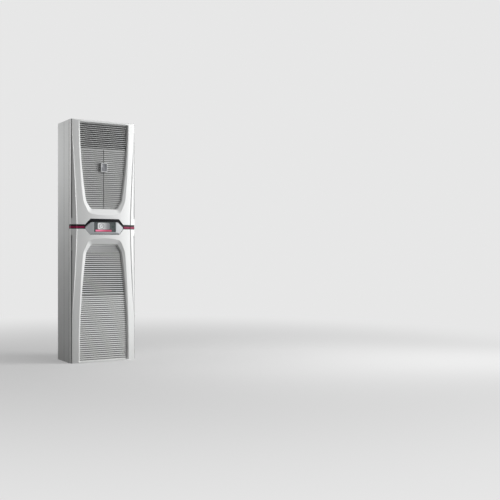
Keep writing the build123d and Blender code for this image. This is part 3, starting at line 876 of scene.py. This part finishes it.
# %% Guard spokes
eye_radius = 0.118
spoke_lap = 0.004
spoke_size = (2 * (eye_radius + spoke_lap), 0.0018, 0.0024)
spoke_round = 0.0007
spoke_turns = (45, 135)
wire_smooth_turn = math.radians(50)
spoke = start_box("guard_spoke", eye_middle, spoke_size)
pick_edges(spoke, lambda start, end: abs(start.x - end.x) > eye_radius)
bpy.ops.mesh.bevel(offset=spoke_round, segments=3, affect="EDGES")
bpy.ops.object.mode_set(mode="OBJECT")
for degrees in spoke_turns:
    wires.append(moved_copy(spoke, turned_about(eye_middle, degrees)))
bpy.data.objects.remove(spoke)
guard_wires = wires[0]
guard_wires.name = "guard_wires"
join_to_first(wires)
bpy.ops.object.shade_smooth_by_angle(angle=wire_smooth_turn)
guard_wires.data.materials.append(guard_steel)
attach(guard_wires, "root")
print(guard_wires.name, "faces:", len(guard_wires.data.polygons))

# %% [markdown]
# A pan head screw is a short disc with a domed rim and a cross recess. A bump could hint at the
# recess, but it would not be in the mesh. It is two thin boxes taken away by a Boolean modifier.
# One screw is modelled, and copied to the corners.

# %% One guard screw
screw_radius = 0.0042
screw_height = 0.0017
screw_sink = 0.0001
screw_dome = 0.0007
reach_x = 0.155
reach_z = 0.115
recess_length = 0.0042
recess_width = 0.0008
recess_depth = 0.0016
recess_offset = Vector((0.0, 0.0011, 0.0))
screw_middle = Vector((reach_x, guard_high.y + screw_height / 2 - screw_sink, eye_middle.z + reach_z))
screw = start_disc("guard_screw_1", screw_middle, screw_radius, screw_height, sides=24)
pick_faces(screw, lambda middle, normal: normal.y > facing)
bpy.ops.mesh.bevel(offset=screw_dome, segments=3, affect="EDGES")
bpy.ops.object.mode_set(mode="OBJECT")
for size in ((recess_length, recess_depth, recess_width), (recess_width, recess_depth, recess_length)):
    slot = start_box("screw_slot", screw_middle + recess_offset, size)
    cut = screw.modifiers.new("recess", "BOOLEAN")
    cut.operation = "DIFFERENCE"
    cut.object = slot
    bpy.context.view_layer.objects.active = screw
    bpy.ops.object.modifier_apply(modifier=cut.name)
    bpy.data.objects.remove(slot)
print("screw faces:", len(screw.data.polygons))

# %% Screws in the corners
screws = [screw]
other_corners = ((-2 * reach_x, 0.0), (0.0, -2 * reach_z), (-2 * reach_x, -2 * reach_z))
for count, (step_x, step_z) in enumerate(other_corners, start=2):
    copy = moved_copy(screw, Matrix.Translation((step_x, 0.0, step_z)))
    copy.name = f"guard_screw_{count}"
    screws.append(copy)
for piece in screws:
    bpy.ops.object.select_all(action="DESELECT")
    piece.select_set(True)
    finish_piece(piece, zinc_steel, soft_edge=0.00008)

# %% [markdown]
# ## Floor
# The unit stands on a plain pale floor. A photo studio hides the horizon by sweeping the floor
# up into a backdrop, which only works from one side. Here the floor is a very wide disc that
# fades into the colour of the surroundings with distance, so that it works from every side.

# %% Floor disc
pale = (0.80, 0.80, 0.80, 1)
near_floor = 4.0
far_floor = 60.0
bpy.ops.object.select_all(action="DESELECT")
bpy.ops.mesh.primitive_circle_add(
    vertices=96, radius=near_floor, fill_type="NGON", location=(0.0, 0.0, 0.0))
floor = bpy.context.active_object
floor.name = "floor_disc"
bpy.ops.object.mode_set(mode="EDIT")
bpy.ops.mesh.select_mode(type="EDGE")
bpy.ops.mesh.select_all(action="SELECT")
bpy.ops.mesh.region_to_loop()
bpy.ops.mesh.extrude_edges_move()
bpy.ops.transform.resize(value=(far_floor / near_floor, far_floor / near_floor, 1.0))
bpy.ops.object.mode_set(mode="OBJECT")
print("floor disc, metres across:", round(floor.dimensions.x))

# %% [markdown]
# The camera, mirrors and glass see a pale floor. To the light that bounces up onto the unit it
# is darker, because a pale floor would fill every downward face of the louvres with light. A
# Light Path node tells the two kinds of rays apart, and the unit's shadow stays on the floor.

# %% Floor finish
def seen_directly(tree):
    """1 for rays from the camera, from gloss and through glass, and 0 for diffuse light."""
    rays = add_node(tree, "ShaderNodeLightPath")
    seen = add_node(tree, "ShaderNodeMath", operation="MAXIMUM")
    seen_or_through = add_node(tree, "ShaderNodeMath", operation="MAXIMUM")
    link(tree, rays, "Is Camera Ray", seen, 0)
    link(tree, rays, "Is Glossy Ray", seen, 1)
    link(tree, seen, "Value", seen_or_through, 0)
    link(tree, rays, "Is Transmission Ray", seen_or_through, 1)
    return seen_or_through


floor_finish, tree, shader = new_finish("floor_finish")
black = (0.0, 0.0, 0.0, 1)
near_grey = (0.70, 0.70, 0.70, 1)
bounce_grey = (0.12, 0.12, 0.12, 1)
near_haze = 0.3
seen = seen_directly(tree)
place = add_node(tree, "ShaderNodeTexCoord")
reach = add_node(tree, "ShaderNodeVectorMath", operation="LENGTH")
distance = add_node(tree, "ShaderNodeMapRange", interpolation_type="SMOOTHSTEP")
put(distance, From_Min=0.0, From_Max=near_floor, To_Min=near_haze)
distance_seen = add_node(tree, "ShaderNodeMath", operation="MULTIPLY")
near_tone = two_tones(tree, near_grey, black)
floor_tone = two_tones(tree, bounce_grey, black)
haze = two_tones(tree, black, pale)
link(tree, place, "Object", reach, "Vector")
link(tree, reach, "Value", distance, "Value")
link(tree, distance, "Result", near_tone, "Factor")
link(tree, distance, "Result", distance_seen, 0)
link(tree, seen, "Value", distance_seen, 1)
link(tree, seen, "Value", floor_tone, "Factor")
link(tree, distance_seen, "Value", haze, "Factor")
link(tree, near_tone, mix_result, floor_tone, mix_second)
link(tree, floor_tone, mix_result, shader, "Base Color")
link(tree, haze, mix_result, shader, "Emission Color")
shader.inputs["Emission Strength"].default_value = 1.0
shader.inputs["Roughness"].default_value = 0.9
shader.inputs["Specular IOR Level"].default_value = 0.0
floor.data.materials.append(floor_finish)
print("floor finish nodes:", len(tree.nodes))

# %% [markdown]
# ## Light
# A product studio: one large soft light to the right of the front, which rakes across the covers
# and shows their bevels, a smaller one behind the left side that fades down the side wall, a weak
# one overhead for the rims, and soft light from all round. A picture of a studio could light it
# too, but lamps can be moved and dimmed one at a time.

# %% Lights
def soft_light(name, azimuth, distance, height, size, power, aim_height, spread):
    """Area light that looks at the unit, azimuth in degrees to the right of its front."""
    data = bpy.data.lights.new(name, "AREA")
    data.shape = "RECTANGLE"
    data.size, data.size_y = size
    data.energy = power
    data.spread = math.radians(spread)
    lamp = bpy.data.objects.new(name, data)
    turn = math.radians(azimuth)
    lamp.location = (math.sin(turn) * distance, -math.cos(turn) * distance, height)
    aim = Vector((0.0, 0.0, aim_height)) - lamp.location
    lamp.rotation_mode = "QUATERNION"
    lamp.rotation_quaternion = aim.to_track_quat("-Z", "Y")
    bpy.context.scene.collection.objects.link(lamp)
    print(name, "at", tuple(round(v, 2) for v in lamp.location))


soft_light(
    "key_light", azimuth=57.0, distance=3.2, height=1.3,
    size=(1.3, 2.4), power=48.0, aim_height=0.8, spread=120.0)
soft_light(
    "side_light", azimuth=-122.0, distance=2.0, height=1.7,
    size=(0.6, 0.6), power=2.4, aim_height=1.3, spread=64.0)
soft_light(
    "top_light", azimuth=30.0, distance=1.7, height=3.3,
    size=(1.4, 1.4), power=5.5, aim_height=1.0, spread=110.0)

# %% [markdown]
# The surroundings are pale to the camera, to gloss and to glass, and dimmer as a light. One grey
# for both would either light the unit too flatly or leave a dark background, so the rays are told
# apart as on the floor.

# %% Surroundings
world = bpy.data.worlds.new("studio")
bpy.context.scene.world = world
world.use_nodes = True
tree = world.node_tree
soft_grey = (0.33, 0.33, 0.33, 1)
around = two_tones(tree, soft_grey, pale)
link(tree, seen_directly(tree), "Value", around, "Factor")
link(tree, around, mix_result, tree.nodes["Background"], "Color")
print("surroundings:", world.name)
